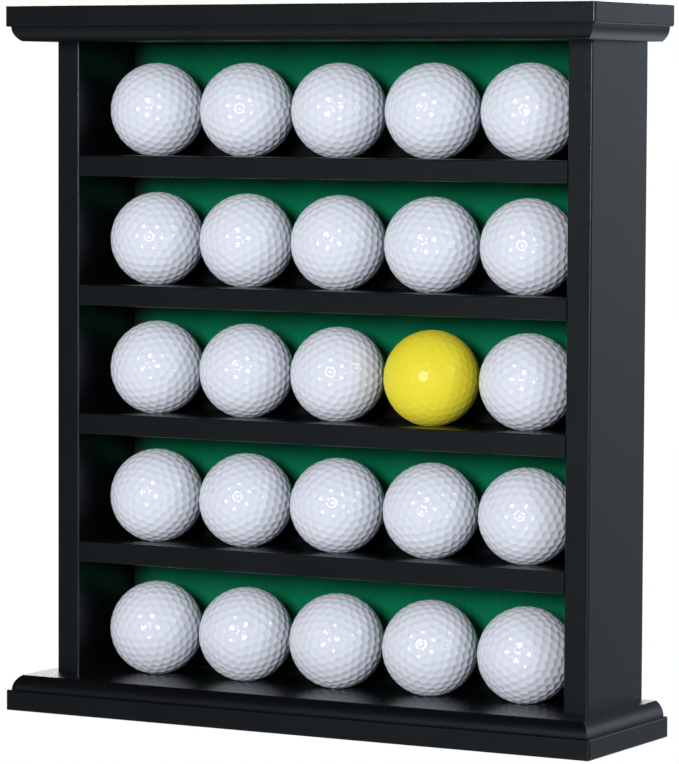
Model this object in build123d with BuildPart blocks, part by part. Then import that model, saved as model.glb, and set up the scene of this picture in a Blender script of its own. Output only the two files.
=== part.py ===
from build123d import *
import os

# Golf ball display case: an open-fronted cabinet of black lacquered boards that stands on a flat
# base.  Four shelves and the base board carry five rows of five balls, each ball in its own shallow
# seat, in front of a green felt lining.
#
# Millimetres, +Z up.  The origin is the middle of the footprint, on the surface that the case stands
# on.  The open front faces -Y and rows are counted from the top, columns from the left.

# ---- golf balls and their seats ----
ball_diameter = 42.67
balls_per_row = 5
ball_gap = 4.5
ball_end_gap = 7.4
ball_front_gap = 0.2
ball_back_gap = 5.1
seat_radius = 38.0
seat_depth = 1.0
seat_clearance = 0.2

# ---- cabinet body ----
side_thickness = 11.4
shelf_thickness = 9.6
shelf_count = 4
middle_headroom = 7.1
end_headroom = 9.3
edge_round = 0.7

# ---- moulded base and top boards ----
board_thickness = 15.8
board_front_overhang = 24.0
board_side_overhang = 12.5
board_corner_radius = 0.9
fascia_height = 9.3
arris_radius = 1.0
step_width = 0.9
ovolo_run = 3.6

# ---- joints between the boards ----
joint_clearance = 0.1
housing_depth = 3.0
housing_stop = 8.0
dowel_diameter = 6.0
dowel_length = 30.0
dowel_depth_in_board = 10.0
dowel_end_clearance = 1.0
dowel_chamfer = 0.6
fastener_spacing = 32.0

# ---- felt lining and back panel ----
felt_thickness = 1.2
back_thickness = 3.0
back_recess = 2.8
rabbet_width = 5.6
panel_clearance = 0.2

# ---- base screws ----
screw_length = 38.0
screw_shank_diameter = 3.4
screw_head_diameter = 6.8
screw_point_length = 5.0
screw_sink = 0.4
screw_recess_width = 1.0
screw_recess_length = 3.6
screw_recess_depth = 1.5

# ---- back panel pins ----
pin_diameter = 1.2
pin_length = 15.0
pin_head_diameter = 2.2
pin_head_height = 0.4
pins_per_side = 5
pins_per_shelf = 3
pin_edge_distance = 2.8
pin_end_distance = 26.0
fastener_clearance = 0.05

# ---- sizes that follow from the ones above ----
ball_radius = ball_diameter / 2
ball_pitch = ball_diameter + ball_gap
ball_setback = ball_front_gap + ball_radius
ball_rise = ball_radius - seat_depth + seat_clearance
inner_width = (balls_per_row - 1) * ball_pitch + ball_diameter + 2 * ball_end_gap
case_width = inner_width + 2 * side_thickness
lining_setback = ball_setback + ball_radius + ball_back_gap
case_depth = lining_setback + felt_thickness + back_thickness + back_recess
middle_bay_height = ball_rise + ball_radius + middle_headroom
end_bay_height = ball_rise + ball_radius + end_headroom
board_width = case_width + 2 * board_side_overhang
board_depth = case_depth + board_front_overhang
moulding_inset = arris_radius + step_width + ovolo_run
back_y = board_depth / 2
front_y = back_y - case_depth
lining_y = front_y + lining_setback
ball_y = front_y + ball_setback
base_top = board_thickness
shelf_pitch = middle_bay_height + shelf_thickness
lowest_shelf_underside = base_top + end_bay_height
highest_shelf_top = lowest_shelf_underside + (shelf_count - 1) * shelf_pitch + shelf_thickness
top_board_underside = highest_shelf_top + end_bay_height
side_height = top_board_underside - base_top
case_height = top_board_underside + board_thickness
side_middle_x = (case_width - side_thickness) / 2
fastener_y = (front_y + lining_y) / 2
back_panel_front_y = lining_y + felt_thickness
back_panel_back_y = back_panel_front_y + back_thickness
back_panel_width = inner_width + 2 * (rabbet_width - panel_clearance)
back_panel_height = side_height - 2 * panel_clearance

# Heights of the shelves' undersides, from the top shelf to the bottom one.
shelf_undersides = [lowest_shelf_underside + level * shelf_pitch for level in reversed(range(shelf_count))]
# Heights of the surfaces that carry the rows of balls, from the top row to the bottom one.
row_heights = [underside + shelf_thickness for underside in shelf_undersides] + [base_top]

# Places of the fasteners: two dowels and two screws in the end of each side panel.
side_end_points = [
    (side * side_middle_x, fastener_y + offset)
    for side in (-1, 1)
    for offset in (-fastener_spacing / 2, fastener_spacing / 2)
]
# Places of the pins on the back panel, as X and Z: one column down each side panel's rabbet,
# and one line across the back edge of each shelf.
side_pin_x = inner_width / 2 + pin_edge_distance
side_pin_pitch = (side_height - 2 * pin_end_distance) / (pins_per_side - 1)
side_pin_heights = [base_top + pin_end_distance + place * side_pin_pitch for place in range(pins_per_side)]
side_pin_points = [(side * side_pin_x, height) for side in (-1, 1) for height in side_pin_heights]
shelf_pin_pitch = inner_width / pins_per_shelf
shelf_pin_xs = [(place - (pins_per_shelf - 1) / 2) * shelf_pin_pitch for place in range(pins_per_shelf)]
shelf_pin_points = [
    (x, underside + shelf_thickness / 2) for underside in shelf_undersides for x in shelf_pin_xs
]

os.makedirs("parts", exist_ok=True)


def finish(part, name):
    """Label a finished piece and write it to its own file."""
    part.label = name
    export_step(part, f"parts/{name}.step")


def level_planes(points, height, opening_direction):
    """Planes at the given X, Y points and height, with the drill entering against the direction."""
    return [Plane(origin=(x, y, height), z_dir=(0, 0, opening_direction)) for x, y in points]


def back_planes(points, y):
    """Planes at the given X, Z points that look backwards, for the pins and their holes."""
    return [Plane(origin=(x, y, z), z_dir=(0, 1, 0)) for x, z in points]


def draw_moulded_edge(edge, inward, foot, rise):
    """Draw one moulded edge of a board, from its plain face to its narrower face.

    From the foot of the fascia: a small round, the flat fascia, a rounded arris, a step inwards
    and an ovolo that starts upright.  inward and rise are +1 or -1.
    """
    fascia_end = foot + rise * fascia_height
    ovolo_start = edge + inward * (arris_radius + step_width)
    face_end = (edge + inward * moulding_inset, foot + rise * board_thickness)
    TangentArc((edge + inward * edge_round, foot), (edge, foot + rise * edge_round), tangent=(-inward, 0))
    Line((edge, foot + rise * edge_round), (edge, fascia_end - rise * arris_radius))
    TangentArc(
        (edge, fascia_end - rise * arris_radius),
        (edge + inward * arris_radius, fascia_end),
        tangent=(0, rise),
    )
    Line((edge + inward * arris_radius, fascia_end), (ovolo_start, fascia_end))
    TangentArc((ovolo_start, fascia_end), face_end, tangent=(0, rise))


def moulded_board(foot, rise):
    """A board with the moulding on its front and ends, and a square back edge.

    foot is the height of its wide, plain face, and rise is +1 where the moulding lies above it.
    """
    narrow_face = foot + rise * board_thickness
    side_edge = board_width / 2
    with BuildPart() as board:
        # The front moulding, carried along the whole width.
        with BuildSketch(Plane.YZ):
            with BuildLine():
                draw_moulded_edge(-back_y, 1, foot, rise)
                Polyline(
                    (-back_y + moulding_inset, narrow_face),
                    (back_y, narrow_face),
                    (back_y, foot),
                    (-back_y + edge_round, foot),
                )
            make_face()
        extrude(amount=side_edge, both=True)
        # The mouldings of the two ends, mitred with the front one.
        with BuildSketch(Plane.XZ):
            with BuildLine():
                draw_moulded_edge(-side_edge, 1, foot, rise)
                Line((-side_edge + moulding_inset, narrow_face), (side_edge - moulding_inset, narrow_face))
                draw_moulded_edge(side_edge, -1, foot, rise)
                Line((side_edge - edge_round, foot), (-side_edge + edge_round, foot))
            make_face()
        extrude(amount=board_depth, both=True, mode=Mode.INTERSECT)
        # The front corners of the fascia are rounded off in plan.
        with BuildSketch(Plane.XY.offset(min(foot, narrow_face))) as plan:
            Rectangle(board_width, board_depth)
            fillet(plan.vertices().group_by(Axis.Y)[0], board_corner_radius)
        extrude(amount=board_thickness, mode=Mode.INTERSECT)
    return board.part


def seat_centre(surface_height):
    """Plane at the centre of the sphere that hollows the seats of a row."""
    return Plane((0, ball_y, surface_height + seat_radius - seat_depth))


# ---- base board, with the seats of the bottom row and the countersunk screw holes ----
with BuildPart() as base_board:
    add(moulded_board(0, 1))
    with Locations(seat_centre(base_top)):
        with GridLocations(ball_pitch, ball_pitch, balls_per_row, 1):
            Sphere(seat_radius, mode=Mode.SUBTRACT)
    with Locations(*level_planes(side_end_points, 0, -1)):
        CounterSinkHole(
            radius=screw_shank_diameter / 2 + fastener_clearance,
            counter_sink_radius=screw_head_diameter / 2 + screw_sink,
            counter_sink_angle=90,
        )
finish(base_board.part, "base_board")

# ---- top board, upside down to the base board, with the dowel holes in its underside ----
with BuildPart() as top_board:
    add(moulded_board(case_height, -1))
    with Locations(*level_planes(side_end_points, top_board_underside, -1)):
        Hole(dowel_diameter / 2 + fastener_clearance, depth=dowel_depth_in_board + dowel_end_clearance)
finish(top_board.part, "top_board")

# ---- side panels, with a stopped housing for each shelf and a rabbet for the lining and back ----
dowel_depth_in_side = dowel_length - dowel_depth_in_board
screw_depth_in_side = screw_length + screw_sink - board_thickness
pin_depth = pin_length - back_thickness - felt_thickness
for name, side in (("left_side_panel", -1), ("right_side_panel", 1)):
    inner_face_x = side * inner_width / 2
    outward = Plane(origin=(inner_face_x, 0, 0), x_dir=(0, side, 0), z_dir=(side, 0, 0))
    this_side_ends = [point for point in side_end_points if point[0] * side > 0]
    this_side_pins = [point for point in side_pin_points if point[0] * side > 0]
    with BuildPart() as side_panel:
        with BuildSketch(Plane.XY.offset(base_top)) as plan:
            with Locations((side * side_middle_x, (front_y + back_y) / 2)):
                Rectangle(side_thickness, case_depth)
            fillet(plan.vertices().group_by(Axis.Y)[0], edge_round)
        extrude(amount=side_height)
        # Housings: open to the rabbet, stopped short of the front edge.
        with BuildSketch(outward):
            for underside in shelf_undersides:
                with Locations((side * (front_y + housing_stop + back_y) / 2, underside + shelf_thickness / 2)):
                    Rectangle(case_depth - housing_stop, shelf_thickness + 2 * joint_clearance)
        extrude(amount=housing_depth, mode=Mode.SUBTRACT)
        # Rabbet over the whole height of the back edge.
        with BuildSketch(Plane.XY.offset(base_top)):
            with Locations((inner_face_x + side * rabbet_width / 2, (lining_y + back_y) / 2)):
                Rectangle(rabbet_width, back_y - lining_y)
        extrude(amount=side_height, mode=Mode.SUBTRACT)
        # Dowel holes in the upper end, screw holes in the lower end, pin holes in the rabbet.
        with Locations(*level_planes(this_side_ends, top_board_underside, 1)):
            Hole(dowel_diameter / 2 + fastener_clearance, depth=dowel_depth_in_side + dowel_end_clearance)
        with Locations(*level_planes(this_side_ends, base_top, -1)):
            Hole(screw_shank_diameter / 2 + fastener_clearance, depth=screw_depth_in_side)
        with Locations(*back_planes(this_side_pins, lining_y)):
            Hole(pin_diameter / 2 + fastener_clearance, depth=pin_depth)
    finish(side_panel.part, name)

# ---- shelves, housed in the side panels, with five seats each ----
tongue_length = inner_width + 2 * (housing_depth - joint_clearance)
shelf_depth = lining_setback - joint_clearance
tongue_depth = shelf_depth - housing_stop - joint_clearance
for number, underside in enumerate(shelf_undersides, start=1):
    shelf_top = underside + shelf_thickness
    this_shelf_pins = [point for point in shelf_pin_points if underside < point[1] < shelf_top]
    with BuildPart() as shelf:
        with BuildSketch(Plane.XY.offset(underside)):
            with Locations((0, front_y + shelf_depth / 2)):
                Rectangle(inner_width - 2 * joint_clearance, shelf_depth)
            with Locations((0, front_y + shelf_depth - tongue_depth / 2)):
                Rectangle(tongue_length, tongue_depth)
        extrude(amount=shelf_thickness)
        fillet(shelf.faces().sort_by(Axis.Y)[0].edges().filter_by(Axis.X), edge_round)
        with Locations(seat_centre(shelf_top)):
            with GridLocations(ball_pitch, ball_pitch, balls_per_row, 1):
                Sphere(seat_radius, mode=Mode.SUBTRACT)
        with Locations(*back_planes(this_shelf_pins, front_y + shelf_depth)):
            Hole(pin_diameter / 2 + fastener_clearance, depth=pin_depth)
    finish(shelf.part, f"shelf_{number}")

# ---- felt lining, one sheet behind all the shelves, pinned through with the back panel ----
with BuildPart() as felt_lining:
    with Locations((0, lining_y + felt_thickness / 2, base_top + side_height / 2)):
        Box(back_panel_width, felt_thickness, back_panel_height)
    with Locations(*back_planes(side_pin_points + shelf_pin_points, back_panel_front_y)):
        Hole(pin_diameter / 2 + fastener_clearance)
finish(felt_lining.part, "felt_lining")

# ---- back panel, in the side panels' rabbets and between the two boards ----
with BuildPart() as back_panel:
    with Locations((0, back_panel_front_y + back_thickness / 2, base_top + side_height / 2)):
        Box(back_panel_width, back_thickness, back_panel_height)
    with Locations(*back_planes(side_pin_points + shelf_pin_points, back_panel_back_y)):
        Hole(pin_diameter / 2 + fastener_clearance)
finish(back_panel.part, "back_panel")

# ---- dowels between the top board and the side panels ----
with BuildPart() as dowel:
    Cylinder(dowel_diameter / 2, dowel_length, align=(Align.CENTER, Align.CENTER, Align.MIN))
    chamfer(dowel.edges().filter_by(GeomType.CIRCLE), dowel_chamfer)
with BuildPart() as top_dowels:
    with Locations(*[(x, y, top_board_underside - dowel_depth_in_side) for x, y in side_end_points]):
        add(dowel.part)
finish(top_dowels.part, "top_dowels")

# ---- countersunk screws up through the base board into the side panels ----
shank_radius = screw_shank_diameter / 2
head_radius = screw_head_diameter / 2
point_radius = shank_radius / 4
with BuildPart() as screw:
    with BuildSketch(Plane.XZ):
        with BuildLine():
            Polyline(
                (0, 0),
                (head_radius, 0),
                (shank_radius, head_radius - shank_radius),
                (shank_radius, screw_length - screw_point_length),
                (point_radius, screw_length),
                (0, screw_length),
                close=True,
            )
        make_face()
    revolve(axis=Axis.Z)
    with BuildSketch():
        Rectangle(screw_recess_length, screw_recess_width)
        Rectangle(screw_recess_width, screw_recess_length)
    extrude(amount=screw_recess_depth, mode=Mode.SUBTRACT)
with BuildPart() as base_screws:
    with Locations(*[(x, y, screw_sink) for x, y in side_end_points]):
        add(screw.part)
finish(base_screws.part, "base_screws")

# ---- panel pins through the back panel and felt into the side panels and shelves ----
with BuildPart() as pin:
    Cylinder(pin_diameter / 2, pin_length, align=(Align.CENTER, Align.CENTER, Align.MAX))
    Cylinder(pin_head_diameter / 2, pin_head_height, align=(Align.CENTER, Align.CENTER, Align.MIN))
with BuildPart() as back_pins:
    with Locations(*back_planes(side_pin_points + shelf_pin_points, back_panel_back_y)):
        add(pin.part)
finish(back_pins.part, "back_pins")

# ---- golf balls, one in each seat, each free to be lifted out ----
for row, surface_height in enumerate(row_heights, start=1):
    for column in range(1, balls_per_row + 1):
        ball_x = (column - (balls_per_row + 1) / 2) * ball_pitch
        with BuildPart(Plane((ball_x, ball_y, surface_height + ball_rise))) as golf_ball:
            Sphere(ball_radius)
        finish(golf_ball.part, f"golf_ball_r{row}_c{column}")
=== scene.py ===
"""Looks of the golf ball display case: black lacquered boards, green felt and 25 dimpled balls."""

import bpy
import numpy as np
from mathutils import Euler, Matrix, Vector


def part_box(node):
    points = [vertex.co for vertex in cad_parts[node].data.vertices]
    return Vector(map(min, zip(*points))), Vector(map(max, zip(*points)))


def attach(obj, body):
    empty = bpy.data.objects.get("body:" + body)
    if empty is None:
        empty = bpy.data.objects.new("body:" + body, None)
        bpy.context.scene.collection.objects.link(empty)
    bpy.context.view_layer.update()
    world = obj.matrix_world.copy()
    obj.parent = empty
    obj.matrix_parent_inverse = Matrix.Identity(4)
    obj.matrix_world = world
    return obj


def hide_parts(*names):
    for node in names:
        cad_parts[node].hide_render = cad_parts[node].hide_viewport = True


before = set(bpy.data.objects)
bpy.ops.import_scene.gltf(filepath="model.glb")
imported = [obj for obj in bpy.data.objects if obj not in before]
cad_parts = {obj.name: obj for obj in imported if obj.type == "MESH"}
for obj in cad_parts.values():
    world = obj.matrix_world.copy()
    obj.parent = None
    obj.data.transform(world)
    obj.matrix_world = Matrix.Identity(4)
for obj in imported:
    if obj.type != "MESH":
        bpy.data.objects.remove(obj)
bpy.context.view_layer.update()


# ---- Cabinet boards -------------------------------------------------------------------------
# Base board, top board, two side panels and four shelves: close-grained wood, sanded, filled and
# sprayed with satin black lacquer, so that the grain just shows through the film.  The boards are
# housed, dowelled and screwed together, and keep the places that the frame gives them.


class Value:
    """An output socket that Python's operators work on: each operator adds one Math node."""

    def __init__(self, tree, socket):
        self.tree = tree
        self.socket = socket

    def maths(self, operation, *others, first=None):
        """A Math node's result; its inputs are this value and the others, or first, then this."""
        node = self.tree.nodes.new("ShaderNodeMath")
        node.operation = operation
        operands = (self, *others) if first is None else (first, self)
        for slot, operand in zip(node.inputs, operands):
            if isinstance(operand, Value):
                self.tree.links.new(operand.socket, slot)
            else:
                slot.default_value = operand
        return Value(self.tree, node.outputs[0])

    def __add__(self, other):
        return self.maths("ADD", other)

    def __sub__(self, other):
        return self.maths("SUBTRACT", other)

    def __mul__(self, other):
        return self.maths("MULTIPLY", other)

    def __rsub__(self, other):
        return self.maths("SUBTRACT", first=other)

    __radd__ = __add__
    __rmul__ = __mul__


class Nodes:
    """The nodes of a material or of the world, and the one way in which new ones are made."""

    def __init__(self, tree):
        self.tree = tree

    def node(self, kind, settings=None, sockets=None, gives=0):
        """The output named or numbered gives of a new node, set up and fed as told."""
        node = self.tree.nodes.new(kind)
        for setting, value in (settings or {}).items():
            setattr(node, setting, value)
        for socket, value in (sockets or {}).items():
            if isinstance(value, Value):
                self.tree.links.new(value.socket, node.inputs[socket])
            else:
                node.inputs[socket].default_value = value
        return Value(self.tree, node.outputs[gives])


class Finish(Nodes):
    """A material built node by node round one Principled shader."""

    def __init__(self, name, **constants):
        """constants are shader sockets that stay the same all over, with _ for the spaces."""
        self.material = bpy.data.materials.new(name)
        self.material.use_nodes = True
        super().__init__(self.material.node_tree)
        self.shader = self.tree.nodes["Principled BSDF"]
        for socket, value in constants.items():
            self.shader.inputs[socket.replace("_", " ")].default_value = value
        self.place = self.node("ShaderNodeTexCoord", gives="Object")

    def feed(self, socket, value):
        """Links a value that changes over the surface to one of the shader's sockets."""
        self.tree.links.new(value.socket, self.shader.inputs[socket])

    def along(self, axis):
        """The place on the piece along "X", "Y" or "Z", in metres."""
        return self.node("ShaderNodeSeparateXYZ", None, {"Vector": self.place}, gives=axis)

    def noise(self, scale, detail, stretch=(1.0, 1.0, 1.0)):
        """Noise from 0 to 1 in the piece's own metres; stretch multiplies the scale by axis."""
        where = self.node("ShaderNodeMapping", None, {"Vector": self.place, "Scale": stretch})
        sockets = {"Vector": where, "Scale": scale, "Detail": detail}
        return self.node("ShaderNodeTexNoise", None, sockets, gives="Fac")

    def mix(self, amount, first, second):
        """The colour between first and second; each is a colour or a linked value."""
        settings = {"data_type": "RGBA"}
        return self.node("ShaderNodeMix", settings, {0: amount, 6: first, 7: second}, gives=2)

    def bump(self, height, distance):
        """Feeds the shader's normal from a height of 0 to 1 that stands for distance metres."""
        sockets = {"Height": height, "Distance": distance}
        self.feed("Normal", self.node("ShaderNodeBump", None, sockets, gives="Normal"))


def satin_black(name, along):
    """Black lacquer over wood whose grain runs along axis number `along`."""
    finish = Finish(name, IOR=1.5, Specular_IOR_Level=0.55, Specular_Tint=(0.8, 0.92, 1.0, 1.0))
    stretch = [1.0, 1.0, 1.0]
    stretch[along] = 0.035
    grain = finish.noise(900.0, detail=3.0, stretch=stretch)
    pores = (grain - 0.52).maths("MAXIMUM", 0.0)
    orange_peel = finish.noise(260.0, detail=1.0)
    cloud = finish.noise(22.0, detail=3.0)
    black = (0.0024, 0.0029, 0.0038, 1.0)
    worn = (0.0036, 0.0042, 0.0054, 1.0)
    finish.feed("Base Color", finish.mix(cloud, black, worn))
    finish.feed("Roughness", cloud * 0.06 + orange_peel * 0.04 + 0.22)
    finish.bump(orange_peel * 0.6 - pores * 1.2, distance=0.000002)
    return finish.material


lacquer_level = satin_black("black_lacquer_level", along=0)
lacquer_upright = satin_black("black_lacquer_upright", along=2)
level_boards = ["base_board", "top_board", "shelf_1", "shelf_2", "shelf_3", "shelf_4"]
upright_boards = ["left_side_panel", "right_side_panel"]


def give_finish(node_name, material):
    """Puts a material on a node of the frame."""
    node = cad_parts[node_name]
    node.data.materials.clear()
    node.data.materials.append(material)


for board in level_boards:
    give_finish(board, lacquer_level)
for board in upright_boards:
    give_finish(board, lacquer_upright)


# ---- Felt lining ----------------------------------------------------------------------------
# One sheet of green felt behind all five bays, held by the same pins as the back panel behind it
# and nipped by the back edges of the shelves.  Its face has a fine upright rib and a short nap.


def new_piece(name, points, faces, material):
    """A mesh object at the origin from an array of points in metres and an array of faces."""
    mesh = bpy.data.meshes.new(name)
    faces = np.asarray(faces, dtype=np.int32)
    corners = faces.shape[1]
    mesh.vertices.add(len(points))
    mesh.vertices.foreach_set("co", np.asarray(points, dtype=np.float32).ravel())
    mesh.loops.add(faces.size)
    mesh.loops.foreach_set("vertex_index", faces.ravel())
    mesh.polygons.add(len(faces))
    mesh.polygons.foreach_set("loop_start", np.arange(0, faces.size, corners, dtype=np.int32))
    mesh.polygons.foreach_set("use_smooth", np.full(len(faces), True))
    mesh.update(calc_edges=True)
    mesh.validate()
    mesh.materials.append(material)
    piece = bpy.data.objects.new(name, mesh)
    bpy.context.scene.collection.objects.link(piece)
    return piece


def green_felt():
    """Felt: fibres in tangled upright streaks with a rib every 0.8 mm, with painted shade that mixes
    it to near black towards the boards round each bay.
    """
    finish = Finish("green_felt", Roughness=0.95, Specular_IOR_Level=0.12)
    fibres = finish.noise(1500.0, detail=3.0, stretch=(1.0, 1.0, 0.25))
    streaks = finish.noise(500.0, detail=2.0, stretch=(1.0, 1.0, 0.02))
    rib = finish.along("X") * (2 * np.pi / 0.0008) + streaks * 5.0
    weave = rib.maths("SINE") * 0.2 + 0.3 + fibres * 0.5
    deep = (0.0008, 0.112, 0.048, 1.0)
    bright = (0.0032, 0.244, 0.114, 1.0)
    green = finish.mix(weave * 0.7 + streaks * 0.3, deep, bright)
    # Painted shade: the green is mixed towards a neutral near black close to the boards round each
    # bay and in a band at its foot, by the attribute built below.
    painted_light = finish.node("ShaderNodeAttribute", {"attribute_name": "painted_light"}, gives="Fac")
    finish.feed("Base Color", finish.mix(painted_light, (0.0060, 0.0064, 0.0072, 1.0), green))
    finish.bump(weave, distance=0.0003)
    return finish.material


def ramp(distance, start, end):
    """0 up to start, 1 from end on, and the smooth curve 3 t^2 - 2 t^3 in between."""
    t = np.clip((distance - start) / (end - start), 0, 1)
    return t * t * (3 - 2 * t)


def painted_light_on_felt(across, up):
    """Painted shade on the felt: 1 (full green) in the middle of a bay, fading to 0 (near black)
    towards the boards round it.

    It is the product of one ramp from each board, by the distance from that board in metres.
    """
    left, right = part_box("left_side_panel")[1][0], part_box("right_side_panel")[0][0]
    sides = ramp(np.minimum(across - left, right - across), -0.002, 0.015)
    levels = ["base_board", "shelf_4", "shelf_3", "shelf_2", "shelf_1", "top_board"]
    lit_share = np.zeros(across.shape)
    for lower, upper in zip(levels, levels[1:]):
        bottom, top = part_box(lower)[1][2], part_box(upper)[0][2]
        inside = (up > bottom) & (up < top)
        bay = ramp(up - bottom, 0.006, 0.018) * ramp(top - up, -0.006, 0.003)
        lit_share = np.where(inside, bay * sides, lit_share)
    return lit_share


felt_low, felt_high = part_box("felt_lining")
felt_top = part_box("top_board")[0][2]
columns, rows = 190, 210
across, up = np.meshgrid(
    np.linspace(felt_low[0], felt_high[0], columns), np.linspace(felt_low[2], felt_top, rows)
)
felt_points = np.stack([across, np.full(across.shape, felt_low[1]), up], axis=-1).reshape(-1, 3)
corner = (np.arange(rows - 1)[:, None] * columns + np.arange(columns - 1)[None, :]).ravel()
felt_faces = np.stack([corner, corner + 1, corner + columns + 1, corner + columns], axis=-1)
felt = new_piece("felt_sheet", felt_points, felt_faces, green_felt())
# Painted shade on the felt: each point stores how much of its green is kept (1) or darkened to near
# black (0) along the boards.
painted_light = felt.data.attributes.new("painted_light", "FLOAT", "POINT")
painted_light.data.foreach_set("value", painted_light_on_felt(across, up).ravel().astype(np.float32))
thickness = felt.modifiers.new("thickness", "SOLIDIFY")
thickness.thickness = felt_high[1] - felt_low[1]
thickness.offset = -1.0
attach(felt, "case")
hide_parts("felt_lining")


# ---- Golf balls -----------------------------------------------------------------------------
# 25 two-piece balls of 42.67 mm: a tough moulded cover with 362 shallow dimples, white or yellow,
# under a clear coat.  Each lies loose in its seat, turned any way up.

DIMPLE_DEPTH = {"white": 0.00040, "yellow": 0.00014}
GRID_FREQUENCY = 54


def geodesic_sphere(frequency):
    """Unit points and triangles of an icosahedron whose faces are each cut into a triangular grid.

    A point is (i a + j b + k c) / frequency with i + j + k = frequency, drawn out to length 1.
    """
    golden = (1 + 5**0.5) / 2
    base = np.array([(s, t * golden, 0) for s in (-1, 1) for t in (-1, 1)], dtype=float)
    corners = np.concatenate([base, np.roll(base, 1, axis=1), np.roll(base, 2, axis=1)])
    gaps = np.linalg.norm(corners[:, None] - corners[None], axis=-1)
    near = (gaps > 0.1) & (gaps < 2.1)
    a, b, c = np.array(
        [(p, q, r) for p in range(12) for q in range(p, 12) for r in range(q, 12)
         if near[p, q] and near[q, r] and near[p, r]]
    ).T
    turned = np.einsum("ij,ij->i", np.cross(corners[a], corners[b]), corners[c]) < 0
    b, c = np.where(turned, c, b), np.where(turned, b, c)
    i, j = np.meshgrid(np.arange(frequency + 1), np.arange(frequency + 1), indexing="ij")
    keep = i + j <= frequency
    number = np.cumsum(keep.ravel()).reshape(keep.shape) - 1
    i, j = i[keep], j[keep]
    weights = np.stack([frequency - i - j, i, j], axis=-1) / frequency
    points = np.einsum("gw,wfx->fgx", weights, corners[np.stack([a, b, c])])
    points /= np.linalg.norm(points, axis=-1, keepdims=True)
    up = i + j < frequency
    down = i + j < frequency - 1
    here = number[i[up], j[up]], number[i[up] + 1, j[up]], number[i[up], j[up] + 1]
    i, j, count = i[down], j[down], len(i)
    there = number[i + 1, j], number[i + 1, j + 1], number[i, j + 1]
    one_face = np.concatenate([np.stack(here, axis=-1), np.stack(there, axis=-1)])
    faces = (one_face[None] + np.arange(20)[:, None, None] * count).reshape(-1, 3)
    _, first, which = np.unique(
        np.round(points.reshape(-1, 3), 7), axis=0, return_index=True, return_inverse=True
    )
    return points.reshape(-1, 3)[first], which.ravel()[faces]


def spread_evenly(points):
    """Points on a unit sphere after each has been pushed away from its neighbours, step by step.

    A push is the sum of the directions from the others, each divided by the distance cubed.
    """
    push = 0.00002
    for _ in range(80):
        apart = points[:, None] - points[None]
        distance = np.linalg.norm(apart, axis=-1) + np.eye(len(points)) * 9
        points = points + push * (apart / distance[..., None] ** 4).sum(axis=1)
        points /= np.linalg.norm(points, axis=-1, keepdims=True)
    return points


def dimpled(points, centres, depth_ratio):
    """Unit points drawn in by the dimples: depth times 1 - (angle from centre / rim angle) squared.

    Points near a rim first slide on to it, so that every rim is a clean circle.
    """
    neighbours = np.sort(np.arccos(np.clip(centres @ centres.T, -1, 1)), axis=1)[:, 1:6].mean(axis=1)
    rim = neighbours * 0.472  # 94 per cent of the way to the middle between two centres
    likeness = points @ centres.T
    nearest = likeness.argmax(axis=1)
    angle = np.arccos(np.clip(likeness.max(axis=1), -1, 1))
    centre, rim = centres[nearest], rim[nearest]
    outwards = points - np.cos(angle)[:, None] * centre
    outwards /= np.maximum(np.linalg.norm(outwards, axis=1, keepdims=True), 1e-9)
    half_edge = 0.5 * 1.1 / GRID_FREQUENCY
    on_rim = np.abs(angle - rim) < half_edge
    angle = np.where(on_rim, rim, angle)
    points = np.cos(angle)[:, None] * centre + np.sin(angle)[:, None] * outwards
    depth = np.clip(1 - (angle / rim) ** 2, 0, None) * depth_ratio
    return points * (1 - depth)[:, None]


def ball_cover(name, colour, deeper, **coat):
    """Moulded cover under a clear coat, a little deeper in colour where it is cloudy."""
    finish = Finish(name, Specular_IOR_Level=0.0, Diffuse_Roughness=0.35, **coat)
    cloud = finish.noise(60.0, detail=3.0)
    finish.feed("Base Color", finish.mix(cloud, colour, deeper))
    finish.feed("Roughness", cloud * 0.12 + 0.3)
    finish.bump(finish.noise(1800.0, detail=1.0), distance=0.000004)
    return finish.material


covers = {
    "white": ball_cover(
        "white_ball_cover", (0.78, 0.81, 0.90, 1.0), (0.74, 0.775, 0.87, 1.0),
        Coat_Weight=1.0, Coat_Roughness=0.08,
    ),
    "yellow": ball_cover(
        "yellow_ball_cover", (0.88, 0.79, 0.055, 1.0), (0.85, 0.745, 0.042, 1.0),
        Coat_Weight=0.4, Coat_Roughness=0.3,
    ),
}
ball_points, ball_faces = geodesic_sphere(GRID_FREQUENCY)
dimple_centres = spread_evenly(geodesic_sphere(6)[0])
turns = np.random.default_rng(18)
ball_nodes = sorted(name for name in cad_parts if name.startswith("golf_ball_"))
for node_name in ball_nodes:
    low, high = (np.array(corner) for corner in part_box(node_name))
    radius = (high - low).max() / 2
    colour = "yellow" if node_name == "golf_ball_r3_c4" else "white"
    surface = dimpled(ball_points, dimple_centres, DIMPLE_DEPTH[colour] / radius)
    turn = np.linalg.qr(turns.normal(size=(3, 3)))[0]
    turn *= np.sign(np.linalg.det(turn))
    place = node_name.replace("golf_ball", "dimpled_ball")
    ball = new_piece(place, (low + high) / 2 + radius * surface @ turn.T, ball_faces, covers[colour])
    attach(ball, node_name.replace("golf_ball", "ball"))
    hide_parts(node_name)


# ---- Back panel -----------------------------------------------------------------------------
# A sheet of 3 mm hardboard in the rabbets of the side panels, smooth towards the felt, with the
# screen pattern of its pressing on the back.


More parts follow.
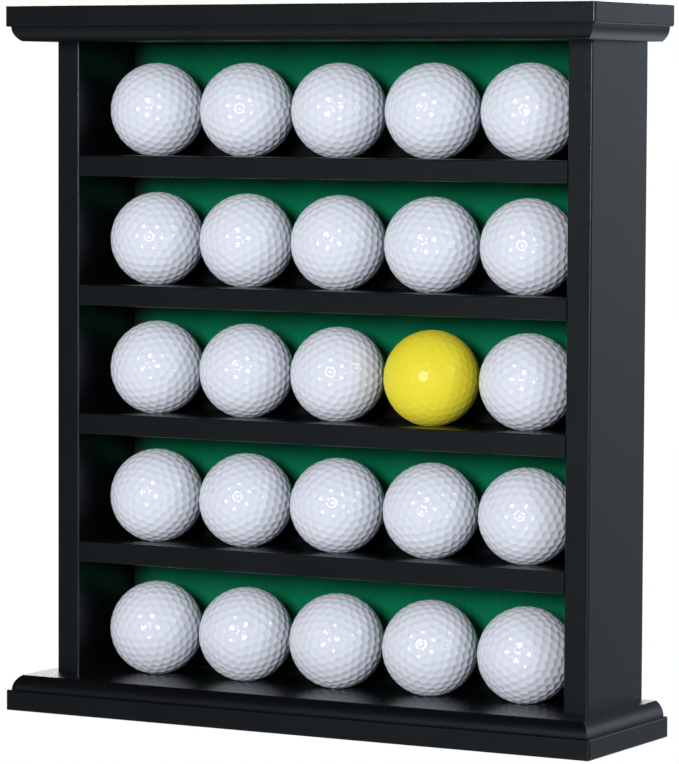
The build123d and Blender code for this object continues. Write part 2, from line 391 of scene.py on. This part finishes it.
def brown_hardboard():
    """Pressed wood fibre: mottled brown, with a raised mesh of 1.6 mm squares."""
    finish = Finish("brown_hardboard", Roughness=0.8)
    fibres = finish.noise(700.0, detail=4.0)
    mottle = finish.noise(35.0, detail=4.0)
    dark = (0.075, 0.036, 0.017, 1.0)
    light = (0.20, 0.112, 0.058, 1.0)
    finish.feed("Base Color", finish.mix(fibres * 0.6 + mottle * 0.4, dark, light))
    turns_per_metre = 2 * np.pi / 0.0016
    wires_up = (finish.along("X") * turns_per_metre).maths("SINE")
    wires_across = (finish.along("Z") * turns_per_metre).maths("SINE")
    finish.bump(wires_up * wires_across * 0.5 + fibres * 0.4, distance=0.00012)
    return finish.material


give_finish("back_panel", brown_hardboard())


# ---- Fasteners ------------------------------------------------------------------------------
# Beech dowels in the top joints, and bright zinc-plated steel for the countersunk base screws and
# the panel pins.


def zinc_plate():
    """Thin zinc on steel: pale, faintly blotched, slightly brushed."""
    finish = Finish("zinc_plated_steel", Metallic=1.0)
    blotch = finish.noise(400.0, detail=3.0)
    finish.feed("Base Color", finish.mix(blotch, (0.62, 0.62, 0.60, 1.0), (0.48, 0.49, 0.50, 1.0)))
    finish.feed("Roughness", blotch * 0.2 + 0.25)
    return finish.material


def beech():
    """Pale beech with short dark flecks along the dowel."""
    finish = Finish("beech_dowel", Roughness=0.6)
    flecks = finish.noise(1200.0, detail=2.0, stretch=(1.0, 1.0, 0.08))
    finish.feed("Base Color", finish.mix(flecks, (0.62, 0.43, 0.26, 1.0), (0.45, 0.28, 0.15, 1.0)))
    return finish.material


steel = zinc_plate()
give_finish("base_screws", steel)
give_finish("back_pins", steel)
give_finish("top_dowels", beech())


# ---- Stage ----------------------------------------------------------------------------------
# A white room without a floor: the camera sees plain white, and the boards and balls see soft
# glows that stand for pale walls and paper, with round lamps in front, to the right and behind.


def direction(azimuth, elevation):
    """The unit vector at azimuth degrees from the case's front, turning right, and at elevation."""
    a, e = np.radians(azimuth), np.radians(elevation)
    return Vector((np.sin(a) * np.cos(e), -np.cos(a) * np.cos(e), np.sin(e)))


def soft_glows(room, colour, glows):
    """A Background of one colour whose strength is the sum of the glows.

    A glow is strength * exp(sharpness * (cosine of the angle from its middle - 1)).
    """
    towards = room.node("ShaderNodeTexCoord", gives="Generated")
    total = 0.0
    for azimuth, elevation, sharpness, strength in glows:
        middle = direction(azimuth, elevation)
        sockets = {0: towards, 1: middle}
        cosine = room.node("ShaderNodeVectorMath", {"operation": "DOT_PRODUCT"}, sockets, "Value")
        total = ((cosine - 1.0) * sharpness).maths("EXPONENT") * strength + total
    return room.node("ShaderNodeBackground", None, {"Color": colour, "Strength": total})


def white_room():
    """The world: plain white for the camera, and the soft glows for everything else."""
    world = bpy.data.worlds.new("white_room")
    world.use_nodes = True
    world.node_tree.nodes.clear()
    room = Nodes(world.node_tree)
    white = (1.0, 1.0, 1.0, 1.0)
    faint_blue = (0.88, 0.97, 1.08, 1.0)
    in_front = [
        (14, 8, 10, 0.42),  # the pale room behind the camera
        (-15, 8, 60, 1.05),  # paler wall to the left of the camera
        (0, -34, 12, 0.75),  # paper in front of the case
        (-30, -55, 14, 0.4),  # paper under the case
        (-80, -12, 14, 0.55),  # wall to the left
        (-120, 5, 10, 0.9),  # wall behind, to the left
    ]
    to_the_right = [
        (62, 0, 14, 0.85),  # window wall to the right of the camera
        (155, 8, 45, 1.02),  # wall behind, to the right
        (160, 38, 10, 0.30),  # the same wall higher up
        (172, -29, 18, 0.95),  # paper behind the case
    ]
    glows = {0: soft_glows(room, white, in_front), 1: soft_glows(room, faint_blue, to_the_right)}
    lit_by = room.node("ShaderNodeAddShader", None, glows)
    seen_by_camera = room.node("ShaderNodeLightPath", gives="Is Camera Ray")
    backdrop = room.node("ShaderNodeBackground", None, {"Color": white, "Strength": 1.0})
    sockets = {0: seen_by_camera, 1: lit_by, 2: backdrop}
    both = room.node("ShaderNodeMixShader", None, sockets)
    output = world.node_tree.nodes.new("ShaderNodeOutputWorld")
    world.node_tree.links.new(both.socket, output.inputs["Surface"])
    return world


def round_lamp(name, azimuth, elevation, distance, diameter, power):
    """A soft round lamp that looks at the middle of the case from azimuth and elevation."""
    light = bpy.data.lights.new(name, "AREA")
    light.shape = "DISK"
    light.size = diameter
    light.energy = power
    lamp = bpy.data.objects.new(name, light)
    away = direction(azimuth, elevation)
    lamp.location = Vector((0, 0, 0.16)) + away * distance
    lamp.rotation_euler = away.to_track_quat("Z", "Y").to_euler()
    bpy.context.scene.collection.objects.link(lamp)


bpy.context.scene.world = white_room()
round_lamp("front_lamp", 10, 11, 2.4, 0.6, 40)
round_lamp("right_lamp", 74, 15, 2.2, 0.35, 5)
round_lamp("back_lamp", -150, 25, 2.4, 1.2, 36)


# ---- Camera ---------------------------------------------------------------------------------
# A long lens nearly two metres away, to the right of the case and level with its top row of balls.

camera_data = bpy.data.cameras.new("camera")
camera_data.lens = 196.7
camera_data.clip_end = 20
camera = bpy.data.objects.new("camera", camera_data)
camera.location = (0.9017, -1.6146, 0.2763)
pitch, roll, yaw = 3.823, -0.248, 29.089
camera.rotation_euler = Euler(np.radians((90 - pitch, roll, yaw)))
bpy.context.scene.collection.objects.link(camera)
bpy.context.scene.camera = camera
bpy.context.scene.view_settings.view_transform = "Standard"
